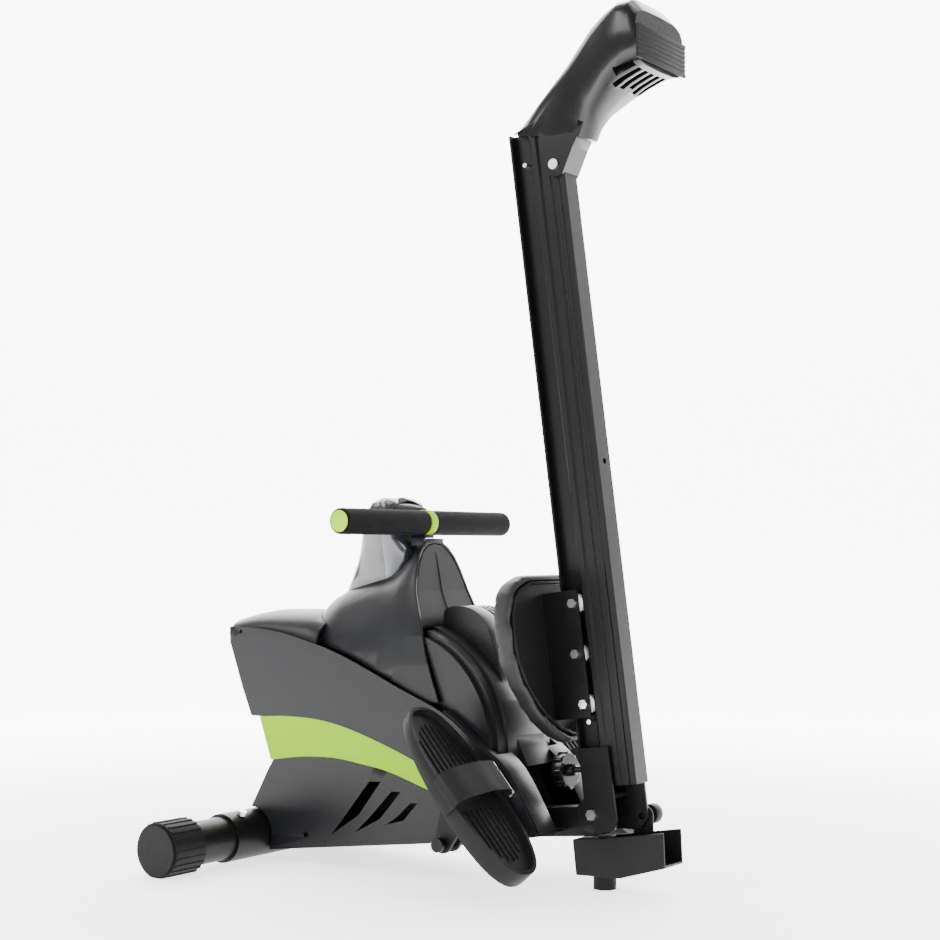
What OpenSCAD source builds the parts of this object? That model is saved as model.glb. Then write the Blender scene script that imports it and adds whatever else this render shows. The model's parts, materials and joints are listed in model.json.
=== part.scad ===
// Folding magnetic rowing machine, standing folded for storage.
// Millimetres. +Z is up, +X points from the front stabiliser towards the user, +Y is the far side.
// X positions below are measured from a datum near the pedals; place() then centres the whole machine.

/* [Base frame] */
// Overall length of the front stabiliser with its end caps
stab_len = 566; // [480:1:680]
// Diameter of the front stabiliser tube
stab_d = 60; // [50:1:72]
// Height of the rail pivot above the floor
pivot_h = 97; // [90:1:116]
// Width of the main frame tube
tube_w = 30; // [25:1:30]
// Height of the main frame tube
tube_h = 38; // [32:1:38]
// Diameter of the rubber middle foot
foot_d = 30; // [22:1:36]

/* [Housing] */
// Half width of the housing at its side shells
shell_y = 88; // [82:1:92]
// Wall thickness of the plastic covers
wall = 3; // [2.5:0.5:3.5]
// Radius of the round flywheel covers
cover_r = 168; // [160:1:174]

/* [Drive] */
// Radius of the flywheel
flywheel_r = 116; // [95:1:118]
// Thickness of the flywheel
flywheel_t = 22; // [16:1:22]
// Radius of the drive pulley on the spool axle
drive_r = 68; // [55:1:72]
// Radius of the small pulley on the flywheel
pinion_r = 20; // [16:1:24]
// Radius of the strap winding on its spool
spool_r = 30; // [24:1:32]

/* [Rail] */
// Visible length of the seat rail
rail_len = 880; // [735:1:1056]
// Width of the rail across its sides
rail_w = 33; // [33:1:36]
// Depth of the rail from its running face to its underside
rail_depth = 80; // [76:1:84]
// Angle that the folded rail leans towards the housing
lean = 7.5; // [6:0.5:9]
// Height of the roller channel in the side of the rail
channel_h = 28.5; // [28:0.5:30]

/* [Seat] */
// Overall width of the seat pad
seat_w = 262; // [210:1:314]
// Overall length of the seat pad
seat_len = 222; // [185:1:250]
// Thickness of the seat pad at its side
pad_t = 32; // [28:1:38]
// Diameter of the seat rollers
roller_d = 24; // [22:1:25]
// Distance between neighbouring seat rollers
roller_pitch = 66; // [56:1:70]

/* [Handle] */
// Overall length of the handlebar
handle_len = 388; // [330:1:460]
// Outer diameter of the foam grips
foam_d = 35; // [30:0.5:36]
// Diameter of the handlebar tube
bar_d = 25; // [22:0.5:25]

/* [Pedals] */
// Length of a footplate
pedal_len = 262; // [214:1:266]
// Width of a footplate
pedal_w = 114; // [95:1:136]
// Depth of a footplate from its rim to its underside
pedal_t = 30; // [25:1:32]
// Diameter of the cross rod that carries the pedals
rod_d = 14; // [12:1:16]

/* [Hidden] */

fit = 0.05;            // radial clearance of a shaft in its bore
gap = 0.4;             // clearance between parts that only pass or meet each other
$fn = 48;

// Main places in the side view
stab_x = -318;
pivot_x = 207;
nose_x = -370;
bracket_x = 314;
centre_x = (nose_x + bracket_x) / 2;
cap_d = stab_d + 17;
cap_len = 60;
stab_z = cap_d / 2 - 2.2;
saddle_t = 4;
saddle_len = 306;
tube_rise = atan2(pivot_h - 9 - stab_z, pivot_x - stab_x);
tube_run = sqrt(pow(pivot_x - stab_x, 2) + pow(pivot_h - 9 - stab_z, 2));

// Drive line
fly_x = -75;
fly_z = 174;
spool_x = -226;
spool_z = 226;
plate_t = 4;
plate_in = tube_w / 2;
axle_r = 7.5;
belt_y = plate_in + plate_t + 5;
belt_w = 12;

// Rail and its fittings, measured from the pivot: v across the rail, u along it
top_v = -12.5;
rail_u = 35;
rail_end_u = rail_u + rail_len;
under_v = top_v + rail_depth;
flange_t = 3;
web_y = 5;
floor_v = top_v + flange_t + channel_h;
carriage_u = 125;
carriage_len = 2 * roller_pitch + 35;
stop_u = carriage_u - 6;
roller_y = 6.5;
roller_w = rail_w / 2 - 1 - roller_y;
hinge_t = 4;
hinge_y = rail_w / 2 + 0.2;
ear_y = hinge_y + hinge_t + 1.2;
ear_t = 3;
lock_x = 51;
lock_z = -2;
pad_x = pivot_x + pivot_h - 0.5;

// Handle
handle_x = -76;
handle_z = 478;
ring_w = 15;

// Pedals
rod_x = 70;
rod_z = 66;
pedal_tilt = 49;
toe_t = 12;
tread_drop = 7;
pedal_x = rod_x + 38;
pedal_z = rod_z + 72;
pedal_y = shell_y + 7 + pedal_w / 2;

// ---------- helpers ----------

// Centres the machine in X over its footprint
module place() translate([-centre_x, 0, 0]) children();

// Side-view outline (x, z) made into a slab from y0 to y1
module slab(y0, y1) translate([0, y1, 0]) rotate([90, 0, 0]) linear_extrude(y1 - y0) children();

// Cylinder along Y, centred on (x, z), from y0 to y1
module rod_y(x, z, r, y0, y1) translate([x, y1, z]) rotate([90, 0, 0]) cylinder(h = y1 - y0, r = r);

// Local frame of the folding rail: x is v (towards the underside), z is u (along the rail)
module on_rail() place() translate([pivot_x, 0, pivot_h]) rotate([0, -lean, 0]) children();

// Near and far copy of a piece modelled on the far side
module both_sides() { children(); mirror([0, 1, 0]) children(); }

// Closed solid through rings that all have the same number of points
module skin(rings) {
  n = len(rings[0]);
  m = len(rings);
  pts = [for (r = rings) each r];
  sides = [for (j = [0:m - 2], i = [0:n - 1]) let(k = (i + 1) % n)
    each [[j * n + i, j * n + k, (j + 1) * n + k], [j * n + i, (j + 1) * n + k, (j + 1) * n + i]]];
  polyhedron(points = pts, faces = concat([[for (i = [n - 1:-1:0]) i]], sides,
    [[for (i = [0:n - 1]) (m - 1) * n + i]]));
}

// Points of an arc about (cx, cz)
function arc(cx, cz, r, a0, a1, n) =
  [for (i = [0:n]) let(a = a0 + (a1 - a0) * i / n) [cx + r * cos(a), cz + r * sin(a)]];

// Value of a broken line through (x, y) pairs at x
function along(t, x) = lookup(x, t);

// Smooth curve through a list of points, four steps to each stretch
function spline(p, n = 4) = [for (i = [0:len(p) - 2], s = [0:n - 1])
  let(t = s / n, a = p[max(i - 1, 0)], b = p[i], c = p[i + 1], d = p[min(i + 2, len(p) - 1)])
  0.5 * (2 * b + (c - a) * t + (2 * a - 5 * b + 4 * c - d) * t * t
    + (3 * b - a - 3 * c + d) * t * t * t), p[len(p) - 1]];

// ---------- base frame ----------

// Tube outline in the side view, with the stretch behind the flywheel left to the plates
module tube_slab(s0, s1) place() translate([stab_x, 0, stab_z]) rotate([0, -tube_rise, 0])
  translate([s0, -tube_w / 2, -tube_h / 2]) cube([s1 - s0, tube_w, tube_h]);

fly_gap0 = fly_x - stab_x - flywheel_r - 8;
fly_gap1 = fly_x - stab_x + flywheel_r + 12;

module main_frame() color("dimgray") {
  difference() {
    union() {
      tube_slab(0, fly_gap0);
      tube_slab(fly_gap1, tube_run);
      place() rod_y(pivot_x, pivot_h - 9, tube_h / 2, -tube_w / 2, tube_w / 2);
    }
    place() rod_y(stab_x, stab_z, stab_d / 2 + saddle_t, -tube_w, tube_w);
    place() rod_y(pivot_x, pivot_h, 5, -tube_w, tube_w);
    place() rod_y(rod_x, rod_z, rod_d / 2 + fit, -tube_w, tube_w);
  }
  frame_plates();
  console_mast();
}

module plate_outline() polygon([[-262, 36], [-262, 250], [-244, 270], [-205, 270], [-140, 250],
  [-60, 208], [-20, 190], [rod_x - 14, 96], [rod_x - 14, 67], [-170, 43]]);

// Two steel plates that carry both axles and bridge the tubes round the flywheel
module frame_plates() place() both_sides() difference() {
  slab(plate_in, plate_in + plate_t) plate_outline();
  rod_y(fly_x, fly_z, axle_r + fit, 0, 60);
  rod_y(spool_x, spool_z, axle_r + fit, 0, 60);
}

// Post of two plates and a cap under the console; the strap runs between them
module console_mast() place() {
  both_sides() slab(plate_in, plate_in + plate_t)
    polygon([[-162, 259], [-128, 245], [-134, 386], [-158, 384]]);
  translate([-156, -plate_in, 368]) cube([20, 2 * plate_in, plate_t]);
}

module front_stabilizer() color("dimgray") place() difference() {
  rod_y(stab_x, stab_z, stab_d / 2, -stab_len / 2 + 12, stab_len / 2 - 12);
  rod_y(stab_x, stab_z, stab_d / 2 - 2, -stab_len, stab_len);
}

// Tube that grips the middle of the stabiliser
module stabilizer_saddle() color("dimgray") place() difference() {
  rod_y(stab_x, stab_z, stab_d / 2 + saddle_t, -saddle_len / 2, saddle_len / 2);
  rod_y(stab_x, stab_z, stab_d / 2, -saddle_len, saddle_len);
  for (s = [-1, 1]) translate([stab_x, s * bolt_y, stab_z]) rotate([0, bolt_lean, 0])
    cylinder(h = 60, r = 4.2);
}

bolt_y = 128;
bolt_lean = 25;
module saddle_bolts() color("silver") place() for (s = [-1, 1])
  translate([stab_x, s * bolt_y, stab_z]) rotate([0, bolt_lean, 0]) {
    translate([0, 0, stab_d / 2 + 0.2]) cylinder(h = saddle_t + 3, r = 4);
    translate([0, 0, stab_d / 2 + saddle_t + 1]) cylinder(h = 6, r = 7, $fn = 6);
  }

// Ribbed end cap, flat below so that the machine stands on it
module stabilizer_cap() color("#303033") place() intersection() {
  difference() {
    union() {
      rod_y(stab_x, stab_z, cap_d / 2 - 1.2, stab_len / 2 - cap_len, stab_len / 2 - 4);
      for (a = [120:15:420]) translate([stab_x, 0, stab_z]) rotate([0, a, 0])
        translate([cap_d / 2 - 3, stab_len / 2 - cap_len, -1.6]) cube([3, cap_len - 6, 3.2]);
      rod_y(stab_x, stab_z, cap_d / 2 - 5, stab_len / 2 - 5, stab_len / 2);
    }
    rod_y(stab_x, stab_z, stab_d / 2 + fit, 0, stab_len / 2 - 12 + gap);
  }
  translate([stab_x - 60, 0, 0]) cube([120, stab_len, 120]);
}
module stabilizer_cap_left() mirror([0, 1, 0]) stabilizer_cap();
module stabilizer_cap_right() stabilizer_cap();

// Cradle that the unfolded rail drops into, with the ear of the fold lock
tube_under = pivot_h - 9 - tube_h / 2;
module middle_foot_bracket() color("dimgray") place() difference() {
  union() {
    slab(-ear_y - ear_t, ear_y + ear_t) bracket_outline();
    slab(ear_y, ear_y + ear_t) lock_ear_outline();
  }
  slab(-tube_w / 2 - 0.5, tube_w / 2 + 0.5) bracket_cavity(true);
  both_sides() slab(tube_w / 2 + 0.4, ear_y) bracket_cavity(false);
  rod_y(pivot_x + lock_x, pivot_h + lock_z, 5 + fit, 0, 60);
  translate([foot_x, 0, 0]) cylinder(h = 60, r = 5 + fit);
}
foot_x = 213;
web_z = tube_under - tan(tube_rise) * 14;
module bracket_outline() polygon([[179, web_z - 4], [230, web_z + 1.5], [bracket_x - 2, pivot_h - 14],
  [bracket_x, 39], [249, 20], [184, 18]]);
module bracket_cavity(web) polygon(concat([[182.5, 21], [248, 23.2], [bracket_x + 6, 44], [bracket_x + 6, 130]],
  web ? [[222, 130], [222, web_z - 6], [182.5, web_z - 9]] : [[182.5, 130]]));
module lock_ear_outline() polygon(concat([[244, 60]], arc(pivot_x + lock_x, pivot_h + lock_z, 14, 180, 0, 14),
  [[272, 60]]));

module middle_foot_pad() color("#202022") place() {
  translate([foot_x, 0, 0]) cylinder(h = 18, r = foot_d / 2);
  translate([foot_x, 0, 18]) cylinder(h = 14, r = 5);
  translate([foot_x, 0, 24.4]) cylinder(h = 6, r = 8.5, $fn = 6);
}

// ---------- housing ----------

crease = spline([[-366, 332], [-303, 330], [-243, 321], [-156, 297], [-54, 255], [17, 226], [73, 187],
  [119, 153], [168, 74]]);
front_edge = [[-342, 8], [-337, 47], [-311, 92], [-283, 142], [-305, 202], [-323, 202], [-341, 243],
  [-365, 307]];
bottom_edge = [[150, 70.5], [-22, 47]];
shell_outline = concat(front_edge, crease, bottom_edge);

// Inside of the shell: the same front and bottom one wall in, open along the crease
cavity_outline = concat([[-339, 12], [-334, 46], [-308, 91], [-279.6, 142], [-303, 205], [-320, 206],
  [-338, 244], [-362, 309]], [[-362, 360], [0, 260], [60, 235], [140, 190], [200, 74], [150, 74],
  [-22, 50.5]]);

band_top = spline([[-305, 202], [-252, 205], [-188, 202], [-123, 188], [-36, 159], [30, 128], [66, 106]]);
band_low = spline([[62, 96], [30, 108], [-30, 127], [-76, 140], [-122, 147], [-170, 152], [-227, 150],
  [-283, 142]]);
band_t = 2.4;

module vent(x0, z0, x1, z1, w) polygon([[x0 - w, z0], [x0 + w, z0 + 1], [(x0 + x1) / 2 + w, (z0 + z1) / 2 - 8],
  [x1, z1], [(x0 + x1) / 2 - w * 0.8, (z0 + z1) / 2 - 4]]);

saddle_hole = stab_d / 2 + saddle_t + 3;

// Inside of the rim that follows the crease behind the tower, and of its broad tail
rim_y = 73.5;
tail_y = 43;
tail_x = 96;

// Side shell with its front and bottom walls, modelled on the far side
module side_shell() color("#3c3c40") place() difference() {
  union() {
    difference() {
      union() {
        slab(0.2, shell_y - wall) polygon(shell_outline);
        slab(shell_y - wall - 1, shell_y) offset(delta = -wall) polygon(shell_outline);
      }
      slab(-1, tail_y) polygon(cavity_outline);
      slab(tail_y - 1, rim_y) difference() {
        polygon(cavity_outline);
        polygon([[tail_x, 260], [tail_x, 165.4], [116, 150], [164, 76], [220, 60], [220, 260]]);
      }
      slab(rim_y - 1, shell_y - wall) difference() {
        polygon(cavity_outline);
        polygon([[14, 240], [16, 221], [73, 183], [116, 150], [164, 76], [220, 60], [220, 260]]);
      }
      slab(-1, shell_y - wall) polygon([[nose_x - 2, 323], [nose_x - 2, 345], [-360, 345], [-360, 323]]);
    }
    slab(shell_y - 2 * wall, shell_y - wall + 0.5) intersection() {
      offset(delta = 5) polygon(concat(band_top, band_low));
      offset(delta = -1) polygon(shell_outline);
    }
  }
  slab(shell_y - band_t, shell_y + 1) offset(delta = 0.3) polygon(concat(band_top, band_low));
  slab(0, shell_y + 1) polygon([[-303, 206], [-280, 141], [-300, 120], [-330, 160], [-330, 202], [-323, 201.9],
    [-305, 202]]);
  slab(0, shell_y + 1) vent(-97, 124, -173, 46, 10);
  slab(0, shell_y + 1) vent(-61, 113, -131, 53, 8);
  slab(0, shell_y + 1) vent(-31, 100, -78, 68, 6);
  rod_y(stab_x, stab_z, saddle_hole, -1, shell_y + 1);
  rod_y(rod_x, rod_z, rod_d / 2 + 2, -1, shell_y + 1);
  translate([44, -1, 40]) cube([200, tube_w / 2 + plate_t + 2, 90]);
  for (p = screw_spots) rod_y(p[0], p[1], 3, shell_y - 2.5, shell_y + 1);
}
screw_spots = [[-341, 322], [120, 95]];
module side_shell_right() side_shell();
module side_shell_left() difference() {
  mirror([0, 1, 0]) side_shell();
  place() rod_y(inlet_x, inlet_z, 5.5, -shell_y - 1, 0);
}

// Bright band let into the side shell and wrapped round its front
module lime_band() color("#d7ff00") place() {
  slab(shell_y - band_t, shell_y - 0.2) polygon(concat(band_top, band_low));
  slab(0.3, shell_y - 0.2) polygon([[-305, 201.7], [-302.6, 201.7], [-281, 142.3], [-283.6, 142.3]]);
}
module lime_band_right() lime_band();
module lime_band_left() mirror([0, 1, 0]) lime_band();

inlet_x = -218;
inlet_z = 42;
module power_inlet() color("#18181a") place() difference() {
  rod_y(inlet_x, inlet_z, 5.3, -shell_y - 0.5, -shell_y + 14);
  rod_y(inlet_x, inlet_z, 3.6, -shell_y - 1, -shell_y + 9);
  }

// Half ellipse standing on z0, across Y at a given x
function arch(x, w, z0, zt, n = 18) = [for (i = [0:n]) let(a = 180 - 180 * i / n, c = cos(a))
  [x, w * sign(c) * pow(abs(c), 0.86), z0 + (zt - z0) * pow(sin(a), 0.86)]];

// Height of the top covers and of the crease along the machine
function crease_z(x) = lookup(x, [[-370, 330], [-303, 330], [-243, 321], [-156, 297], [-54, 255], [-44, 250]]);
function nose_top(x) = lookup(x, [[-370, 341], [-350, 348], [-320, 353], [-280, 354], [-230, 352], [-190, 344]]);
tower_line = [[-254, 322, 22], [-248, 341, 50], [-236, 358, 68], [-214, 376, 77], [-184, 390, 80],
  [-150, 400, 80], [-120, 408, 80], [-100, 418, 80], [-84, 433, 80], [-70, 449, 80], [-58, 456, 80],
  [16, 457, 80]];
tower_foot = 250;

module nose_cover() color("#3c3c40") place() difference() {
  skin([for (x = [-369, -362, -345, -320, -290, -260, -230, -205])
    arch(x, shell_y - wall - 0.6 - (x < -365 ? 14 : 0), crease_z(x) - 6, nose_top(x) - (x < -365 ? 3 : 0))]);
  skin([for (x = [-364, -345, -320, -290, -260, -230, -200])
    arch(x, shell_y - 2 * wall - 0.6, crease_z(x) - 10, nose_top(x) - wall)]);
  tower_solid(0.5);
}

// Side view of the tower, closed behind by the seam with the rear panel and the flywheel cover
function tower_side(g) = [[-400, 200], [-400, 480], [-60.4 + g, 480], [-60.4 + g, 452], [-47 + g, 384],
  [-38 + g, 360], [-30 + g, 338], [-21 + g, 302], [-6 + g, 260], [9 + g, 222], [9 + g, 200]];

// Solid shape of the tower, grown by g
module tower_solid(g) intersection() {
  skin([for (t = tower_line) arch(t[0] + (t[0] > 0 ? g : -g), t[2] + g, tower_foot - 14, t[1] + g)]);
  slab(-100, 100) polygon(tower_side(g));
}

module tower_cover() color("#3c3c40") place() difference() {
  tower_solid(0);
  skin([for (t = tower_line) arch(t[0] + (t[0] > 0 ? 8 : wall), t[2] - wall, tower_foot - 30, t[1] - wall)]);
  slab(-120, 120) polygon([[-400, 180], [-400, 330], [-303, 328], [-243, 319], [-156, 295], [-54, 253],
    [17, 222], [30, 180]]);
  strap_slot();
}

module strap_slot() translate([-80, -12.5, 380]) cube([13, 25, 90]);

// Matt panel that closes the tower behind, facing the user
panel_t = 3;
module tower_rear_panel() color("#242426") place() difference() {
  intersection() {
    slab(-90, 90) polygon([[-65, 456], [-60.8, 453], [-47.4, 384], [-38.6, 360], [-30.6, 338], [-29.6, 334],
      [-36, 334], [-43, 356], [-53, 384]]);
    skin([for (x = [-70, -20]) arch(x, 80 - wall - 0.5, tower_foot - 30, 451.4 - wall)]);
  }
  strap_slot();
}

// Side view of the raised middle of the rear cover
centre_line = spline([[-29, 340], [-28, 355], [-20, 361], [-7, 363], [13, 361], [31, 352], [43, 336], [51, 315],
  [64, 276], [76, 237], [92, 190], [108, 153]]);
centre_line_closed = concat(centre_line, [[60, 150], [-10, 250], [-29, 300]]);

// Round cover over the flywheel with its chamfered rims, joined to the tail cover
disc_y = 64;
module disc_band(r, y) rod_y(fly_x, fly_z, r, -y, y);
module cover_solid(d) {
  disc_band(cover_r - 4 - d, disc_y - d);
  disc_band(cover_r - 12 - d, disc_y + 8 - d);
  disc_band(cover_r - d, disc_y - 18 - d);
}
module flywheel_cover() color("#3c3c40") place() difference() {
  union() {
    intersection() {
      cover_solid(0);
      slab(-90, 90) polygon([[-43, 249], [-52, 349.4], [-30, 349.4], [200, 380], [200, 152], [112, 152], [70, 181],
        [14, 221]]);
    }
    slab(-22, tail_y - gap) polygon(centre_line_closed);
    slab(-tail_y + gap, tail_y - gap) polygon([[60, 182], [80, 166], [89, 134], [113, 87], [113, 77], [60, 77]]);
  }
  intersection() {
    cover_solid(wall);
    slab(-90, 90) polygon([[-60, 100], [-60, 400], [200, 400], [200, 140], [112, 100]]);
  }
  slab(-tail_y + wall, tail_y - wall) polygon([[50, 180], [77, 165], [86.2, 133], [109.6, 86], [109.6, 60], [50, 60]]);
  slab(-90, 90) polygon([[-50, 200], [-70, 260], [-46, 249], [14, 220.5], [60, 190], [60, 60], [-50, 60]]);
  translate([100, -tube_w / 2 - 0.6, 40]) cube([100, tube_w + 1.2, 66]);
  slab(-90, 90) polygon([[-400, 333.5], [-29, 333.5], [-30, 338.5], [-38, 360.5], [-46.8, 384.5], [-60, 480],
    [-400, 480]]);
  slab(-22 + wall, tail_y - gap - wall) offset(delta = -wall) polygon(centre_line_closed);
  for (y = [9, 19, 29]) slab(y, y + 5) polygon([[8, 380], [8, 347], [28, 338], [58, 235], [100, 235], [100, 380]]);
  tower_solid(0.4);
}

// ---------- console ----------

seam_x = -122;
console_line = [[372, -206, -108, 28], [404, -189, -96, 31], [425, -178, -86, 35], [441, -171, -85, 39],
  [456, -166, -96, 42], [476, -160, -98, 46], [494, -153, -100, 47], [506, -144, -106, 44], [513, -132, -116, 34]];
function console_ring(t, d, n = 24) = [for (i = [0:n - 1]) let(a = -360 * i / n, c = cos(a), s = sin(a),
  hx = (t[2] - t[1]) / 2 - d, hy = t[3] - d)
  [(t[1] + t[2]) / 2 + hx * sign(c) * pow(abs(c), 0.45), hy * sign(s) * pow(abs(s), 0.45), t[0] - (t[0] > 510 ? d : 0)]];
module console_shape(d) skin([for (t = console_line) console_ring(t, d)]);
module console_half(x0, x1) color("#5a5e66") place() difference() {
  intersection() {
    console_shape(0);
    translate([x0, -60, 340]) cube([x1 - x0, 120, 200]);
  }
  intersection() {
    console_shape(wall);
    translate([-200, -60, 340]) cube([200, 120, 200]);
  }
  tower_solid(0.3);
}
module console_front() console_half(-210, seam_x - 0.1);
module console_rear() difference() {
  console_half(seam_x + 0.1, -60);
  place() translate([-104, -36, 462]) cube([20, 72, 38]);
  place() translate([-110, 0, button_z]) rotate([0, 90, 0]) cylinder(h = 40, r = 4.5);
}
module console_screen() color("#101216") place() translate([-103.9, -35.8, 462.2]) cube([4.2, 71.6, 37.6]);

button_z = 447.5;
module console_button() color("#8a8d92") place() translate([-97, 0, button_z]) rotate([0, 90, 0]) {
  cylinder(h = 9, r = 4);
  translate([0, 0, -3]) cylinder(h = 3, r = 5.6);
}

// ---------- handle, strap and spool ----------

module handle_cradle() color("#18181a") place() difference() {
  translate([-84, -24, 446]) cube([22, 48, 10]);
  strap_slot();
  tower_solid(0.2);
  rod_y(handle_x, handle_z, foam_d / 2 + 1, -60, 60);
}

guide_x = -88.5;
guide_z = 404;
module guide_rollers() color("silver") place() {
  rod_y(guide_x, guide_z, 10, -12, 12);
  rod_y(guide_x, guide_z, 3, -20, 20);
}

module pull_strap() color("#202022") place() slab(-11, 11) polygon([[-78, 455.5], [-76, 455.5], [-76, 403],
  [-78.6, 395.2], [spool_x + 24, spool_z + 24.5], [spool_x + 22.6, spool_z + 26], [-80.2, 396.6], [-78, 404]]);

module strap_spool() color("#202022") place() difference() {
  union() {
    rod_y(spool_x, spool_z, spool_r, -plate_in + 1.5, plate_in - 1.5);
    rod_y(spool_x, spool_z, spool_r + 5, -plate_in + 0.6, -plate_in + 2.6);
    rod_y(spool_x, spool_z, spool_r + 5, plate_in - 2.6, plate_in - 0.6);
  }
  rod_y(spool_x, spool_z, axle_r + fit, -60, 60);
}

module spool_axle() color("silver") place() rod_y(spool_x, spool_z, axle_r, -46, 46);

module pulley(x, z, r) difference() {
  union() {
    rod_y(x, z, r, -belt_y - belt_w, -belt_y);
    rod_y(x, z, r + 3, -belt_y - 1, -belt_y + 0.6);
    rod_y(x, z, r + 3, -belt_y - belt_w - 1.6, -belt_y - belt_w);
  }
  rod_y(x, z, axle_r + fit, -90, 90);
}
module drive_pulley() color("#202022") place() pulley(spool_x, spool_z, drive_r);

module recoil_spring_case() color("dimgray") place() difference() {
  rod_y(spool_x, spool_z, 42, plate_in + plate_t + 0.3, plate_in + plate_t + 20);
  rod_y(spool_x, spool_z, axle_r + 0.5, 0, 80);
  rod_y(spool_x, spool_z, 38, plate_in + plate_t + 3, plate_in + plate_t + 18);
}

// Flat belt over both pulleys
belt_t = 2;
module belt_loop(g) hull() {
  translate([spool_x, spool_z]) circle(r = drive_r + g, $fn = 96);
  translate([fly_x, fly_z]) circle(r = pinion_r + g, $fn = 48);
}
module drive_belt() color("#101012") place() slab(-belt_y - belt_w + 1.5, -belt_y - 2.5) difference() {
  belt_loop(0.4 + belt_t);
  belt_loop(0.4);
}

module flywheel() color("#707276") place() difference() {
  union() {
    difference() {
      rod_y(fly_x, fly_z, flywheel_r, -flywheel_t / 2, flywheel_t / 2);
      rod_y(fly_x, fly_z, flywheel_r - 22, flywheel_t / 2 - 6, 40);
      rod_y(fly_x, fly_z, flywheel_r - 22, -40, -flywheel_t / 2 + 6);
    }
    rod_y(fly_x, fly_z, 20, -flywheel_t / 2, flywheel_t / 2);
  }
  rod_y(fly_x, fly_z, axle_r - fit, -60, 60);
}
// Turning axle with the small belt pulley on its near end
module flywheel_axle() color("silver") place() {
  rod_y(fly_x, fly_z, axle_r - fit, -belt_y - belt_w - 4, plate_in + plate_t + 8);
  difference() {
    rod_y(fly_x, fly_z, pinion_r, -belt_y - belt_w, -belt_y);
    rod_y(fly_x, fly_z, axle_r - fit, -90, 90);
  }
}

// Curved arm that swings its magnets over the flywheel rim
arm_x = fly_x + 46;
arm_z = fly_z + flywheel_r + 17;
module magnet_arm() color("silver") place() difference() {
  union() {
    slab(-flywheel_t / 2 - 2, flywheel_t / 2 + 2) intersection() {
      translate([fly_x, fly_z]) difference() {
        circle(r = flywheel_r + 13, $fn = 96);
        circle(r = flywheel_r + 9, $fn = 96);
      }
      translate([fly_x - 90, fly_z + 70]) square([142, 80]);
    }
    rod_y(arm_x, fly_z + flywheel_r + 3, 7, -flywheel_t / 2 - 2, flywheel_t / 2 + 2);
  }
  rod_y(arm_x, fly_z + flywheel_r + 3, 4 + fit, -60, 60);
  disc_band(flywheel_r + 2, 60);
}
module magnets() color("#4a4a50") place() for (a = [100, 114, 128])
  translate([fly_x, 0, fly_z]) rotate([0, 90 - a, 0])
    translate([-9, -flywheel_t / 2, flywheel_r + 3]) cube([18, flywheel_t, 5.5]);

module resistance_motor() color("#26262a") place() {
  translate([-128, 22, 262]) cube([44, 26, 30]);
  rod_y(-106, 277, 9, 48, 54);
}

module handle_bar() color("#303033") place() difference() {
  rod_y(handle_x, handle_z, bar_d / 2, -handle_len / 2 + 3.2, handle_len / 2 - 3.2);
  rod_y(handle_x, handle_z, bar_d / 2 - 1.5, -handle_len, handle_len);
}
module foam_grip() color("#202022") place() difference() {
  rod_y(handle_x, handle_z, foam_d / 2, ring_w / 2 + 0.2, handle_len / 2);
  rod_y(handle_x, handle_z, bar_d / 2 + fit, 0, handle_len);
  rod_y(handle_x, handle_z, foam_d / 2 - 2, handle_len / 2 - 3, handle_len);
}
module foam_grip_right() foam_grip();
module foam_grip_left() mirror([0, 1, 0]) foam_grip();
module handle_end_caps() color("#c8ff70") place() both_sides()
  rod_y(handle_x, handle_z, foam_d / 2 - 2.1, handle_len / 2 - 2.9, handle_len / 2 - 0.4);
module handle_center_ring() color("#d7ff00") place() difference() {
  rod_y(handle_x, handle_z, foam_d / 2 + 0.6, -ring_w / 2, ring_w / 2);
  rod_y(handle_x, handle_z, bar_d / 2 + fit, -40, 40);
}
module strap_clamp() color("#18181a") place() difference() {
  translate([handle_x - 7, -11.5, 456.5]) cube([14, 23, 8]);
  rod_y(handle_x, handle_z, foam_d / 2 + 0.6, -40, 40);
}

// ---------- pedals ----------

module pedal_rod() color("dimgray") place() {
  rod_y(rod_x, rod_z, rod_d / 2, -pedal_y - 20, pedal_y + 20);
  both_sides() rod_y(rod_x, rod_z, rod_d / 2 + 2, pedal_y + 20, pedal_y + 25);
}

// Local frame of a footplate: x is across, y runs from heel to toe, z leaves its tread
module on_pedal() place() translate([pedal_x, pedal_y, pedal_z]) rotate([0, pedal_tilt, 0])
  rotate([0, 0, 90]) children();

function footprint(w, l, e, n = 40) = [for (i = [0:n - 1]) let(a = 360 * i / n, c = cos(a), s = sin(a))
  [w / 2 * sign(c) * pow(abs(c), 2 / e), l / 2 * sign(s) * pow(abs(s), 2 / e)]];

module pedal() color("#28282b") difference() {
  union() {
    on_pedal() intersection() {
      translate([0, 0, -pedal_t]) linear_extrude(pedal_t) polygon(footprint(pedal_w, pedal_len, 2.4));
      rotate([90, 0, -90]) translate([0, 0, -200]) linear_extrude(400)
        polygon([[-pedal_len, 1], [pedal_len, 1], [pedal_len, -pedal_t - 2], [0, -pedal_t * 0.72],
        [-pedal_len / 2, -toe_t]]);
    }
    place() for (y = [-13, 7]) slab(pedal_y + y, pedal_y + y + 6) polygon(concat(
      arc(rod_x, rod_z, 12, 150, 330, 12), [[rod_x + 37, rod_z + 34], [rod_x + 12, rod_z + 58],
      [rod_x, rod_z + 54]]));
  }
  on_pedal() translate([0, 0, -tread_drop]) linear_extrude(pedal_t)
    polygon(footprint(pedal_w - 10, pedal_len - 10, 2.4));
  place() rod_y(rod_x, rod_z, rod_d / 2 + fit, 0, 400);
}
module pedal_right() pedal();
module pedal_left() mirror([0, 1, 0]) pedal();

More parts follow.
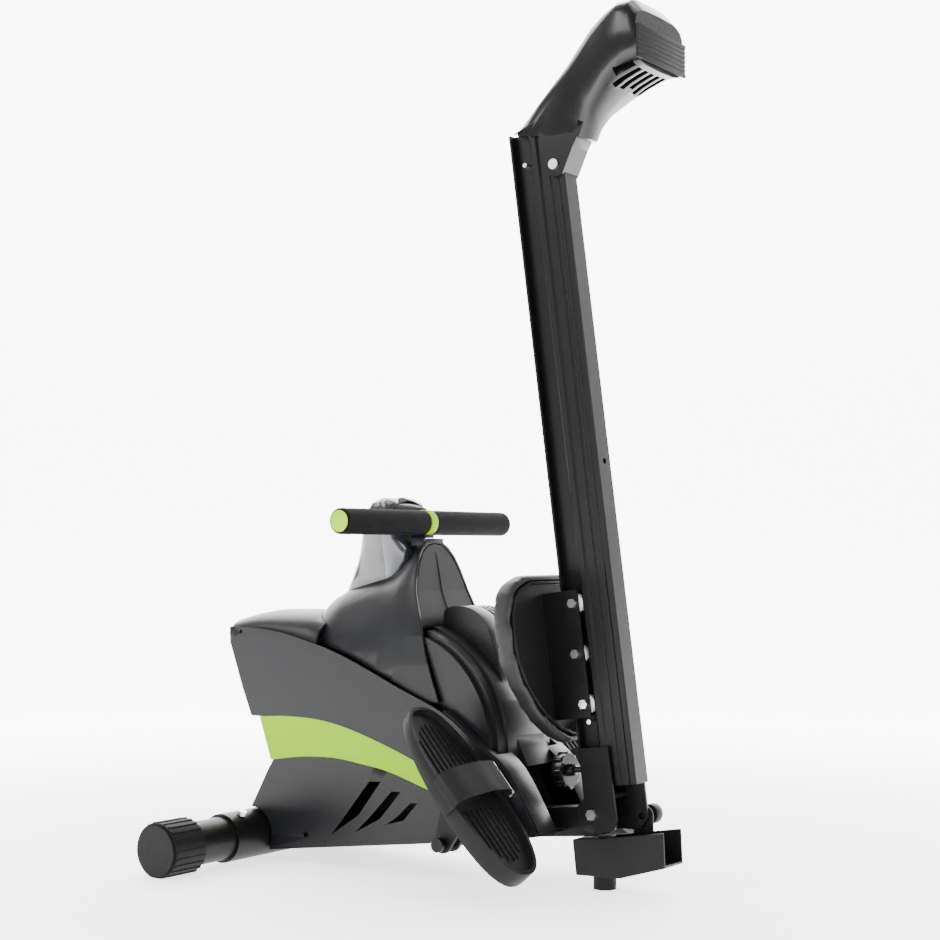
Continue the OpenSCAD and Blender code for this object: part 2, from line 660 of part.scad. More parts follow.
// Webbing over the instep with its wire buckle
strap_w = 44;
strap_rise = 26;
function strap_arc(h, w, way = 1) = [for (i = [0:16]) let(a = way > 0 ? 180 - i * 11.25 : i * 11.25)
  [w * cos(a), i == 0 || i == 16 ? -14 : h * pow(sin(a), 0.7)]];
module pedal_straps() color("#202022") on_pedal() {
  translate([0, 8, 0]) rotate([90, 0, 0]) translate([0, 0, -strap_w / 2]) linear_extrude(strap_w)
    polygon(concat(strap_arc(strap_rise + 3, pedal_w / 2 + 3.9), strap_arc(strap_rise, pedal_w / 2 + 0.9, -1)));
}
module pedal_straps_right() pedal_straps();
module pedal_straps_left() mirror([0, 1, 0]) pedal_straps();

// ---------- rail ----------

function rail_half() = [[top_v, rail_w / 2], [top_v + flange_t, rail_w / 2], [top_v + flange_t, web_y],
  [floor_v, web_y], [floor_v, rail_w / 2 - 1], [floor_v + 2, rail_w / 2], [floor_v + 9, rail_w / 2],
  [floor_v + 12, rail_w / 2 - 2.5], [floor_v + 24, rail_w / 2 - 2.5], [floor_v + 25, rail_w / 2 - 4],
  [floor_v + 29, rail_w / 2 - 4], [floor_v + 30, rail_w / 2 - 2.5], [under_v - 11, rail_w / 2 - 2.5],
  [under_v - 8, rail_w / 2], [under_v - 1.5, rail_w / 2], [under_v, rail_w / 2 - 1.5]];
module rail() color("#2c2d30") on_rail() difference() {
  translate([0, 0, rail_u]) linear_extrude(rail_len) {
    polygon(concat(rail_half(), [for (i = [len(rail_half()) - 1:-1:0]) [rail_half()[i][0], -rail_half()[i][1]]]));
  }
  translate([floor_v + 5, -8.5, rail_u - 1]) cube([under_v - floor_v - 9, 17, rail_len + 2]);
  translate([under_v - 10, 0, 455]) rotate([0, 90, 0]) cylinder(h = 20, r = 4);
  translate([top_v - 1, 0, knob_u]) rotate([0, 90, 0]) cylinder(h = screw_in + 1.5, r = 4 + fit);
}
function roller_line(k) = k == 0 ? top_v + flange_t + roller_d / 2 + 0.3 : floor_v - roller_d / 2 - 0.3;
seat_travel = rail_len - 308;
top_stop_u = carriage_u + carriage_len + seat_travel + 6;

// Stop bolts in the roller channels and the screws of the rear foot
screw_u = 858;
screw_v = 55;
module rail_bolts() color("silver") on_rail() both_sides() {
  for (u = [stop_u, top_stop_u]) rod_y(roller_line(1), u, 3, web_y + 0.3, rail_w / 2 - 1.5);
  rod_y(screw_v, screw_u + rail_len - 880, 7, 20.4, 23);
}

// Horn-shaped rear foot: stations of its outer edge, inner edge and half width
foot_rows = [[[82, 1003], [200, 984], 20], [[121, 1043], [207, 1000], 22], [[170, 1085], [216, 1016], 32],
  [[217, 1127], [244, 1038], 50], [[241, 1141], [263, 1049], 58], [[263, 1150], [280, 1056], 63],
  [[285, 1150], [292, 1060], 65], [[299, 1133], [300, 1060], 65]];
foot_lift = (rail_len - 880) * cos(lean);
foot_push = -(rail_len - 880) * sin(lean);
function slot_ring(o, i, w) = let(m = (o + i) / 2, h = (o - i) / 2)
  [for (k = [0:19]) let(a = -360 * k / 20, c = cos(a), s = sin(a), q = sign(s) * pow(abs(s), 0.5),
    p = sign(c) * pow(abs(c), 0.5)) [m[0] + h[0] * q, w * p, m[1] + h[1] * q]];
module on_foot() place() translate([foot_push, 0, foot_lift]) children();
module foot_heel() slab(-20, 20) polygon(concat([[84, 1003], [112, 1012], [124, 1006], [128, 985]],
  [[134, 950], [143, 940], [152, 938], [163, 941], [179, 976], [196, 1006], [150, 1030]]));
module rail_foot() color("#1c1c1e") difference() {
  on_foot() union() {
    skin([for (r = foot_rows) slot_ring(r[0], r[1], r[2])]);
    foot_heel();
  }
  on_rail() translate([top_v - gap, -rail_w / 2 - 0.2, rail_u]) cube([rail_depth + 2 * gap, rail_w + 0.4, rail_len + gap]);
  on_foot() for (y = [-48:16:48]) slab(y - 5, y + 5) polygon([[230 + abs(y) * 0.6, 1040],
    [230 + abs(y) * 0.6, 1092], [284, 1112], [290, 1052]]);
}
module rail_foot_pad() color("#101012") on_foot() difference() {
  translate([300.2, -65, 1066]) cube([pad_x - 300.2, 130, 44]);
  for (z = [1072:6:1106]) translate([pad_x - 1, -70, z]) cube([2, 140, 2]);
}

// ---------- fold hinge and lock ----------

// Plates on both sides of the rail; the far one is wider and carries the lock holes
module hinge_outline(wide) difference() {
  union() {
    polygon([[top_v + 2, 0], [top_v + 2, 86], [34, 86], [35, -10], [27, -22], [8, -24], [0, -10]]);
    circle(r = 24);
    if (wide) polygon([[0, -21], [47, -26], [60, -10], [60, 42], [30, 60]]);
    if (wide) polygon([[-14, 0], [-16, 50], [-8, 66], [10, 66], [10, 0]]);
  }
}
module hinge_plates() color("dimgray") difference() {
  union() {
    on_rail() slab(-hinge_y - hinge_t, -hinge_y) hinge_outline(false);
    on_rail() slab(hinge_y, hinge_y + hinge_t) hinge_outline(true);
    on_rail() rod_y(29, 22, 4, -hinge_y - 1, hinge_y + 1);
  }
  place() rod_y(pivot_x, pivot_h, 5 + fit, -60, 60);
  for (a = [0, -90]) place() translate([pivot_x, 0, pivot_h]) rotate([0, a, 0])
    rod_y(lock_x, lock_z, 4.4, 0, 60);
}

module hinge_bolt() color("silver") place() {
  rod_y(pivot_x, pivot_h, 5 - fit, -hinge_y - hinge_t - 1, hinge_y + hinge_t + 1);
  for (s = [0, 1]) mirror([0, s, 0]) translate([pivot_x, hinge_y + hinge_t + 6, pivot_h]) rotate([90, 0, 0])
    cylinder(h = 5.7, r = 7.5, $fn = 6);
}

// Lobed knob whose screw clamps the lower end of the rail
knob_u = 58;
knob_v = -39;
knob_r = 25;
knob_t = 15;
screw_in = 11;
module rail_knob() color("#18181a") on_rail() translate([knob_v, 0, knob_u]) rotate([0, 90, 0]) {
  translate([0, 0, -knob_t]) cylinder(h = knob_t, r = knob_r - 3);
  for (a = [0:45:315]) rotate([0, 0, a]) translate([knob_r - 5, 0, -knob_t + 1]) cylinder(h = knob_t - 2, r = 5);
  translate([0, 0, -1]) cylinder(h = 9, r = 8);
  cylinder(h = top_v - knob_v + screw_in, r = 4);
}

// Pull knob with its pin, drawn back clear of the hinge plate
module lock_knob() color("#18181a") place() {
  rod_y(pivot_x + lock_x, pivot_h + lock_z, 4, ear_y - 0.5, ear_y + ear_t + 12);
  rod_y(pivot_x + lock_x, pivot_h + lock_z, 13, ear_y + ear_t + 12, ear_y + ear_t + 28);
}

// ---------- seat ----------

seat_u0 = 95;
function seat_row(t) = lookup(t, [[0, 16], [0.05, 44], [0.13, 72], [0.22, 91], [0.34, 112], [0.5, 128],
  [0.66, 131], [0.8, 129], [0.9, 120], [0.96, 104], [1, 78]]) * seat_w / 262;
seat_steps = [0, 0.05, 0.13, 0.22, 0.34, 0.5, 0.66, 0.8, 0.9, 0.96, 1];
function seat_outline(d) = concat([for (t = seat_steps) [seat_row(t) - d, seat_u0 + d + (seat_len - 2 * d) * t]],
  [for (i = [len(seat_steps) - 1:-1:0]) [-(seat_row(seat_steps[i]) - d), seat_u0 + d + (seat_len - 2 * d) * seat_steps[i]]]);
pad_v = top_v - 10 - pad_t;
// Plan of the seat raised from v0 to v1 across the rail
module seat_slab(v0, v1, d) on_rail() translate([v0, 0, 0]) rotate([90, 0, 90])
  linear_extrude(v1 - v0) polygon(seat_outline(d));
module seat_pad() color("#2a2a2c") difference() {
  union() {
    seat_slab(pad_v, pad_v + 6, 5);
    seat_slab(pad_v + 5, pad_v + pad_t, 0);
  }
  seat_slab(pad_v + 12, pad_v + pad_t + 1, 9);
}
base_v = pad_v + 12.3;
module seat_base() color("#222224") difference() {
  seat_slab(base_v, pad_v + pad_t - 1, 9.3);
  seat_slab(base_v + wall, pad_v + pad_t, 9.3 + wall);
}
carriage_v = base_v + wall + 0.3;
carriage_y = hinge_y + 4;
module seat_carriage() color("#303033") on_rail() difference() {
  translate([carriage_v, -carriage_y, carriage_u]) cube([14.5 - carriage_v, 2 * carriage_y, carriage_len]);
  translate([carriage_v + 3, -hinge_y - 1, carriage_u - 1])
    cube([60, 2 * hinge_y + 2, carriage_len + 2]);
  for (k = [0:2]) roller_spot(k) translate([0, 0, -60]) cylinder(h = 120, r = 4 + fit);
}
module roller_bolts() color("silver") on_rail() for (k = [0:2]) roller_spot(k) for (s = [0, 1])
  mirror([0, 0, s]) {
    translate([0, 0, roller_y]) cylinder(h = carriage_y - roller_y + 1, r = 4);
    translate([0, 0, carriage_y + 0.3]) cylinder(h = 5, r = 6.5, $fn = 6);
  }
// Axis of roller k, along Y
module roller_spot(k) translate([roller_line(k == 1 ? 0 : 1), 0, carriage_u + 17.5 + k * roller_pitch])
  rotate([90, 0, 0]) children();
module roller(k) on_rail() roller_spot(k) for (s = [0, 1]) mirror([0, 0, s]) difference() {
  translate([0, 0, roller_y]) cylinder(h = roller_w, r = roller_d / 2);
  cylinder(h = 40, r = 4 + fit);
}
module seat_rollers_top() color("white") roller(2);
module seat_rollers_middle() color("white") roller(1);
module seat_rollers_bottom() color("white") roller(0);

main_frame();
front_stabilizer();
stabilizer_saddle();
saddle_bolts();
stabilizer_cap_left();
stabilizer_cap_right();
middle_foot_bracket();
middle_foot_pad();
side_shell_left();
side_shell_right();
lime_band_left();
lime_band_right();
nose_cover();
tower_cover();
tower_rear_panel();
flywheel_cover();
power_inlet();
console_front();
console_rear();
console_screen();
console_button();
handle_cradle();
guide_rollers();
pull_strap();
strap_spool();
drive_pulley();
spool_axle();
recoil_spring_case();
drive_belt();
flywheel();
flywheel_axle();
magnet_arm();
magnets();
resistance_motor();
handle_bar();
foam_grip_left();
foam_grip_right();
handle_end_caps();
handle_center_ring();
strap_clamp();
pedal_rod();
pedal_left();
pedal_right();
pedal_straps_left();
pedal_straps_right();
rail();
rail_foot();
rail_foot_pad();
hinge_plates();
hinge_bolt();
lock_knob();
rail_bolts();
rail_knob();
seat_pad();
seat_base();
seat_carriage();
roller_bolts();
seat_rollers_top();
seat_rollers_middle();
seat_rollers_bottom();
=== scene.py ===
"""Looks of a folding magnetic rowing machine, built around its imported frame."""

import json
import logging
import math
from dataclasses import dataclass, field
from enum import Enum
from typing import Callable, Sequence

import bmesh
import bpy
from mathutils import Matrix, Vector

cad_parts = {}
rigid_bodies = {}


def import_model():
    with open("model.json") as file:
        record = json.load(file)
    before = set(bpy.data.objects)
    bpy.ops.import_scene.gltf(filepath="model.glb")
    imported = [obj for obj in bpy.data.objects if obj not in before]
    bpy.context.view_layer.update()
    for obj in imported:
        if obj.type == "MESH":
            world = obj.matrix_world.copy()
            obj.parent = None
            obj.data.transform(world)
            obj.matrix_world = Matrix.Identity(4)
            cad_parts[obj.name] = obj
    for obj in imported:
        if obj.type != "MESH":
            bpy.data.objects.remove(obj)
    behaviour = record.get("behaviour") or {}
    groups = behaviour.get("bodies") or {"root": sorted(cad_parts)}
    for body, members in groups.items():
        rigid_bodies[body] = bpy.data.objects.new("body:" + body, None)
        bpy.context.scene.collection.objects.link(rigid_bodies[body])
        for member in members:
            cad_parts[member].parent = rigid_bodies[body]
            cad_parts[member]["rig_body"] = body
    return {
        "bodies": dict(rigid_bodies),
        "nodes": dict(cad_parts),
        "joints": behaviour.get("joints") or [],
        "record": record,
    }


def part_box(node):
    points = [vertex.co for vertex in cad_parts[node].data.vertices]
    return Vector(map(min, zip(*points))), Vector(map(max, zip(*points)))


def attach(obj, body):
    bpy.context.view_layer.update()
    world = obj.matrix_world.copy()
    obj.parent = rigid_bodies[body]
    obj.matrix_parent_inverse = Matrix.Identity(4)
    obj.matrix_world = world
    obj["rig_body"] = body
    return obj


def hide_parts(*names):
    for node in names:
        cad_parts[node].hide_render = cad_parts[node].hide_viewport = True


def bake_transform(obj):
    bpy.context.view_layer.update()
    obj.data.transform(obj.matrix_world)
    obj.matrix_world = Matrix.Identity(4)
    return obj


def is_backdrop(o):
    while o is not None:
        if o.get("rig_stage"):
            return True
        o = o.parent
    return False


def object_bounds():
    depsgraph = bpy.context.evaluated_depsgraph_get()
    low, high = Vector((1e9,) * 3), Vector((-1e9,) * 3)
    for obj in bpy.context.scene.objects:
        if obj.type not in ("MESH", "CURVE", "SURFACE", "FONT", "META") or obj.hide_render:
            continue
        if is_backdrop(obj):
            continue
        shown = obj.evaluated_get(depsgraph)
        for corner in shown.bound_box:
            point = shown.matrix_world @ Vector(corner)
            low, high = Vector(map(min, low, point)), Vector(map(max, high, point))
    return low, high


logging.basicConfig(level=logging.INFO, format="%(message)s")
LOG = logging.getLogger("rower")
LEAN = math.radians(7.5)  # of the folded rail, from upright
Number = float | int


class Grain(Enum):
    """Kinds of surface texture."""

    NONE = "none"
    MOULDED = "moulded"
    POWDER = "powder"
    BRUSHED = "brushed"
    WOVEN = "woven"
    LEATHER = "leather"
    FOAM = "foam"


class Body(Enum):
    """Moving bodies that new pieces ride on."""

    BASE = "base"
    HANDLE = "handle"
    LEFT_FOOTPLATE = "left_footplate"
    RIGHT_FOOTPLATE = "right_footplate"
    SEAT = "seat"


# ---------------------------------------------------------------- shader maths


class Socket:
    """A shader value that can be used in ordinary arithmetic."""

    def __init__(self, graph: "Graph", out: bpy.types.NodeSocket) -> None:
        """Wraps a node's output.

        Args:
            graph: Node tree that holds the node.
            out: The output.
        """
        self.graph = graph
        self.out = out

    def _math(self, operation: str, a: "Socket | Number", b: "Socket | Number") -> "Socket":
        """Adds one arithmetic node.

        Args:
            operation: Blender's name of the operation.
            a: First value.
            b: Second value.

        Returns:
            The result.
        """
        return self.graph.node("ShaderNodeMath", {"operation": operation}, {0: a, 1: b})

    def __add__(self, other: "Socket | Number") -> "Socket":
        """Returns self + other."""
        return self._math("ADD", self, other)

    def __radd__(self, other: Number) -> "Socket":
        """Returns other + self."""
        return self._math("ADD", other, self)

    def __sub__(self, other: "Socket | Number") -> "Socket":
        """Returns self - other."""
        return self._math("SUBTRACT", self, other)

    def __rsub__(self, other: Number) -> "Socket":
        """Returns other - self."""
        return self._math("SUBTRACT", other, self)

    def __mul__(self, other: "Socket | Number") -> "Socket":
        """Returns self * other."""
        return self._math("MULTIPLY", self, other)

    def __rmul__(self, other: Number) -> "Socket":
        """Returns other * self."""
        return self._math("MULTIPLY", other, self)

    def __truediv__(self, other: "Socket | Number") -> "Socket":
        """Returns self / other."""
        return self._math("DIVIDE", self, other)

    def __rtruediv__(self, other: Number) -> "Socket":
        """Returns other / self."""
        return self._math("DIVIDE", other, self)

    def __pow__(self, other: "Socket | Number") -> "Socket":
        """Returns self ** other."""
        return self._math("POWER", self, other)

    def __rpow__(self, other: Number) -> "Socket":
        """Returns other ** self."""
        return self._math("POWER", other, self)


@dataclass
class Graph:
    """The node tree of one material.

    Attributes:
        material: The material whose nodes are built.
    """

    material: bpy.types.Material
    nodes: bpy.types.Nodes = field(init=False)

    def __post_init__(self) -> None:
        """Turns the material's nodes on."""
        self.material.use_nodes = True
        self.nodes = self.material.node_tree.nodes

    def node(self, kind: str, settings: dict, inputs: dict, output: int | str = 0) -> Socket:
        """Adds a node.

        Args:
            kind: Blender's node type.
            settings: Properties to set on the node.
            inputs: Input name or index to a value or a Socket.
            output: Output to return.

        Returns:
            The chosen output as a Socket.
        """
        made = self.nodes.new(kind)
        for key, value in settings.items():
            setattr(made, key, value)
        for key, value in inputs.items():
            if isinstance(value, Socket):
                self.material.node_tree.links.new(value.out, made.inputs[key])
            else:
                made.inputs[key].default_value = value
        return Socket(self, made.outputs[output])

    def mix(self, factor: Socket, a: Sequence[float], b: Sequence[float]) -> Socket:
        """Mixes two colours.

        Args:
            factor: Share of the second colour.
            a: First colour, RGB.
            b: Second colour, RGB.

        Returns:
            The mixed colour.
        """
        return self.node("ShaderNodeMix", {"data_type": "RGBA"}, {0: factor, 6: (*a, 1), 7: (*b, 1)}, 2)

    def place(self) -> Socket:
        """Returns the point in the piece's own space, in metres."""
        return self.node("ShaderNodeTexCoord", {}, {}, "Object")

    def noise(self, scale: float, detail: float = 3.0, stretch: Sequence[float] = (1, 1, 1)) -> Socket:
        """Noise over the piece.

        Args:
            scale: Cells per metre.
            detail: Octaves.
            stretch: Scale along each axis.

        Returns:
            A value from 0 to 1.
        """
        at = self.node("ShaderNodeMapping", {}, {"Vector": self.place(), "Scale": stretch})
        return self.node("ShaderNodeTexNoise", {}, {"Vector": at, "Scale": scale, "Detail": detail})


@dataclass(frozen=True)
class Finish:
    """One surface finish.

    Attributes:
        name: Material name.
        colour: Base colour, linear RGB.
        rough: Roughness.
        metal: Metallic share.
        coat: Clear coat weight.
        grain: Surface texture.
        depth: Height of the texture in metres.
        cell: Texture cells per metre.
        wear: Share by which the colour varies.
        shine: Specular level.
    """

    name: str
    colour: tuple[float, float, float]
    rough: float
    metal: float = 0.0
    coat: float = 0.0
    grain: Grain = Grain.NONE
    depth: float = 0.0
    cell: float = 900.0
    wear: float = 0.15
    shine: float = 0.5

    def height(self, graph: Graph) -> Socket:
        """Height of the texture, from 0 to 1."""
        if self.grain is Grain.BRUSHED:
            return graph.noise(self.cell, 2, (1, 1, 0.02))
        if self.grain is Grain.WOVEN:
            wave = {"wave_type": "BANDS"}
            across = graph.node("ShaderNodeTexWave", {**wave, "bands_direction": "Y"},
                                {"Vector": graph.place(), "Scale": self.cell}, "Fac")
            along = graph.node("ShaderNodeTexWave", {**wave, "bands_direction": "DIAGONAL"},
                               {"Vector": graph.place(), "Scale": self.cell * 0.7}, "Fac")
            return across * 0.6 + along * 0.4
        if self.grain is Grain.LEATHER:
            at = {"Vector": graph.place(), "Scale": self.cell}
            cells = graph.node("ShaderNodeTexVoronoi", {"feature": "DISTANCE_TO_EDGE"}, at)
            return cells ** 0.5 * 0.8 + graph.noise(self.cell * 2) * 0.2
        if self.grain is Grain.FOAM:
            return graph.noise(self.cell, 4) * 0.7 + graph.noise(self.cell * 3, 2) * 0.3
        return graph.noise(self.cell, 2)

    def build(self) -> bpy.types.Material:
        """Returns the material."""
        made = bpy.data.materials.new(self.name)
        graph = Graph(made)
        shader = graph.nodes["Principled BSDF"]
        shader.inputs["Metallic"].default_value = self.metal
        shader.inputs["Coat Weight"].default_value = self.coat
        shader.inputs["Coat Roughness"].default_value = 0.12
        shader.inputs["Specular IOR Level"].default_value = self.shine
        cloud = graph.noise(7.0, 3)
        low = [c * (1 - self.wear) for c in self.colour]
        high = [min(1.0, c * (1 + self.wear)) for c in self.colour]
        link = made.node_tree.links.new
        link(graph.mix(cloud, low, high).out, shader.inputs["Base Color"])
        link((cloud * 0.1 + (self.rough - 0.05)).out, shader.inputs["Roughness"])
        if self.grain is not Grain.NONE:
            bump = graph.node("ShaderNodeBump", {}, {"Height": self.height(graph), "Distance": self.depth,
                                                     "Strength": 0.5}, "Normal")
            link(bump.out, shader.inputs["Normal"])
        return made


class Finishes:
    """Every finish of the machine, built once."""

    def __init__(self) -> None:
        """Builds every finish."""
        specs = [
            Finish("housing_plastic", (0.0065, 0.0067, 0.0078), 0.36, grain=Grain.MOULDED, depth=0.0002,
                   wear=0.06, shine=0.26),
            Finish("black_plastic", (0.0025, 0.0025, 0.0028), 0.5, grain=Grain.MOULDED, depth=0.0002,
                   shine=0.2),
            Finish("gloss_black", (0.002, 0.002, 0.0022), 0.26, coat=0.12, shine=0.25),
            Finish("console_plastic", (0.016, 0.018, 0.023), 0.22, coat=0.6),
            Finish("lime_plastic", (0.24, 0.48, 0.0), 0.5, wear=0.03, shine=0.04),
            Finish("lime_foam_end", (0.3, 0.55, 0.0), 0.7, grain=Grain.FOAM, depth=0.0003, cell=1400,
                   wear=0.05, shine=0.05),
            Finish("frame_steel", (0.0028, 0.0028, 0.0032), 0.42, grain=Grain.POWDER, depth=0.0002, cell=1500,
                   shine=0.2),
            Finish("rail_aluminium", (0.0025, 0.0025, 0.0028), 0.36, grain=Grain.BRUSHED, depth=0.0001,
                   shine=0.2),
            Finish("screen", (0.004, 0.005, 0.0045), 0.12, coat=0.5),
            Finish("foam", (0.002, 0.002, 0.0021), 0.85, grain=Grain.FOAM, depth=0.0006, cell=1400,
                   shine=0.12),
            Finish("rubber", (0.004, 0.004, 0.0044), 0.62, grain=Grain.MOULDED, depth=0.0003, shine=0.2),
            Finish("zinc", (0.75, 0.75, 0.74), 0.28, metal=1.0, wear=0.08),
            Finish("steel", (0.45, 0.45, 0.46), 0.3, metal=1.0, grain=Grain.BRUSHED, depth=0.0001),
            Finish("iron", (0.12, 0.12, 0.13), 0.5, metal=0.9, grain=Grain.POWDER, depth=0.0003, cell=600),
            Finish("webbing", (0.004, 0.004, 0.0044), 0.8, grain=Grain.WOVEN, depth=0.0008, cell=260,
                   shine=0.25),
            Finish("upholstery", (0.005, 0.005, 0.0055), 0.5, grain=Grain.LEATHER, depth=0.0007, cell=520,
                   shine=0.35),
            Finish("roller_nylon", (0.72, 0.72, 0.7), 0.35, wear=0.05),
            Finish("magnet", (0.3, 0.3, 0.31), 0.3, metal=1.0),
        ]
        self.made = {spec.name: spec.build() for spec in specs}
        LOG.info("finishes: %d", len(self.made))

    def paint(self, piece: bpy.types.Object, slot: str) -> bpy.types.Object:
        """Gives a piece the finish of a material slot.

        Args:
            piece: Mesh object.
            slot: Slot name in the record.

        Returns:
            The piece.
        """
        piece.data.materials.clear()
        piece.data.materials.append(self.made[slot])
        return piece


# ---------------------------------------------------------------- mesh helpers


def new_piece(name: str, verts: Sequence[Vector], faces: Sequence[Sequence[int]]) -> bpy.types.Object:
    """Makes a mesh object.

    Args:
        name: Object name.
        verts: Points in the row frame.
        faces: Faces as point indices.

    Returns:
        The linked object.
    """
    mesh = bpy.data.meshes.new(name)
    mesh.from_pydata([tuple(v) for v in verts], [], [tuple(f) for f in faces])
    mesh.update()
    made = bpy.data.objects.new(name, mesh)
    bpy.context.scene.collection.objects.link(made)
    return made


def edit(piece: bpy.types.Object,
         change: Callable[[bmesh.types.BMesh], None] | None = None) -> bpy.types.Object:
    """Runs a change on a piece's mesh and turns its faces outwards.

    Args:
        piece: Mesh object.
        change: Function of its bmesh, or None.

    Returns:
        The piece.
    """
    bm = bmesh.new()
    bm.from_mesh(piece.data)
    if change:
        change(bm)
    bmesh.ops.recalc_face_normals(bm, faces=bm.faces)
    bm.to_mesh(piece.data)
    bm.free()
    return piece


def smooth(piece: bpy.types.Object, angle: float = 32.0) -> bpy.types.Object:
    """Shades a piece smooth up to an edge angle.

    Args:
        piece: Mesh object.
        angle: Sharpest smooth edge in degrees.

    Returns:
        The piece.
    """
    piece.data.polygons.foreach_set("use_smooth", [True] * len(piece.data.polygons))
    piece.data.set_sharp_from_angle(angle=math.radians(angle))
    return piece


def apply_modifiers(piece: bpy.types.Object) -> bpy.types.Object:
    """Replaces a piece's mesh by its modified form.

    Args:
        piece: Object with modifiers.

    Returns:
        The piece.
    """
    graph = bpy.context.evaluated_depsgraph_get()
    done = bpy.data.meshes.new_from_object(piece.evaluated_get(graph))
    piece.modifiers.clear()
    piece.data = done
    return piece


def tube_mesh(path: Sequence[Vector], radius: float, sides: int = 12) -> tuple[list[Vector], list[list[int]]]:
    """Points and faces of a round wire along a path, closed at both ends.

    Args:
        path: Centre line.
        radius: Wire radius.
        sides: Points round the wire.

    Returns:
        Points and faces.
    """
    verts, faces = [], []
    for i, p in enumerate(path):
        ahead = (path[min(i + 1, len(path) - 1)] - path[max(i - 1, 0)]).normalized()
        across = ahead.cross(Vector((0.31, 0.17, 0.93))).normalized()
        up = ahead.cross(across)
        for k in range(sides):
            a = 2 * math.pi * k / sides
            verts.append(p + (across * math.cos(a) + up * math.sin(a)) * radius)
    for i in range(len(path) - 1):
        for k in range(sides):
            n = (k + 1) % sides
            faces.append([i * sides + k, i * sides + n, (i + 1) * sides + n, (i + 1) * sides + k])
    faces.append(list(range(sides))[::-1])
    faces.append([(len(path) - 1) * sides + k for k in range(sides)])
    return verts, faces


def turned(name: str, centre: Vector, profile: Sequence[tuple[float, float]],
           sides: int = 64) -> bpy.types.Object:
    """A piece turned about a line parallel to Y.

    Args:
        name: Object name.
        centre: Point on the axis.
        profile: Closed outline as (distance along Y, radius) pairs.
        sides: Points round the axis.

    Returns:
        The object.
    """
    verts, faces, n = [], [], len(profile)
    for k in range(sides):
        a = 2 * math.pi * k / sides
        verts += [centre + Vector((r * math.cos(a), y, r * math.sin(a))) for y, r in profile]
    for k in range(sides):
        m = (k + 1) % sides
        faces += [[k * n + i, k * n + (i + 1) % n, m * n + (i + 1) % n, m * n + i] for i in range(n)]
    return smooth(edit(new_piece(name, verts, faces)))


@dataclass
class Machine:
    """The loaded frame with its finishes.

    Attributes:
        finishes: The built finishes.
        broad: Area in square metres above which a face stays flat.
    """

    frame: dict
    finishes: Finishes
    broad: float = 0.0012
    slots: dict[str, str] = field(init=False)

    def __post_init__(self) -> None:
        """Reads which finish each node has."""
        self.slots = {s["node"]: s["material_slot"] for s in self.frame["record"]["subparts"]}

    def paint_all(self) -> None:
        """Gives every node its finish."""
        for name, node in self.frame["nodes"].items():
            self.finishes.paint(node, self.slots[name])
        LOG.info("painted %d nodes", len(self.slots))

    def pivot(self, joint: str) -> Vector:
        """Returns a joint's place at rest."""
        return Vector(next(j["pos_m"] for j in self.frame["joints"] if j["name"] == joint))

    def copy_of(self, node: str, edge: float = 0.0, flat: float = 1.0,
                segments: int = 2) -> bpy.types.Object:
        """A finished copy of a node with softened edges, standing for the node.

        Args:
            node: Node name.
            edge: Width of the softened edges in metres, or 0.
            flat: Faces closer than this many degrees are joined.
            segments: Steps across a softened edge.

        Returns:
            The copy, riding with the node's body.
        """
        source = self.frame["nodes"][node]
        made = bpy.data.objects.new(node + "_skin", source.data.copy())
        bpy.context.scene.collection.objects.link(made)
        if made.data.has_custom_normals:
            made.data.attributes.remove(made.data.attributes["custom_normal"])

        def clean(bm: bmesh.types.BMesh) -> None:
            """Joins doubled points and flat faces."""
            bmesh.ops.remove_doubles(bm, verts=bm.verts, dist=1e-5)
            if flat > 0:
                angle = math.radians(flat)
                bmesh.ops.dissolve_limit(bm, angle_limit=angle, verts=bm.verts, edges=bm.edges)

        edit(made, clean)
        if edge > 0:
            bevel = made.modifiers.new("edge", "BEVEL")
            bevel.width = edge
            bevel.segments = segments
            bevel.limit_method = "ANGLE"
            bevel.angle_limit = math.radians(38)
            bevel.harden_normals = False
            apply_modifiers(made)
        smooth(made, 36)
        for face in made.data.polygons:
            face.use_smooth = face.area < self.broad
        self.finishes.paint(made, self.slots[node])
        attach(made, source["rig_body"])
        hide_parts(node)
        LOG.info("%s: softened copy", node)
        return made


# ---------------------------------------------------------------- sub-assemblies


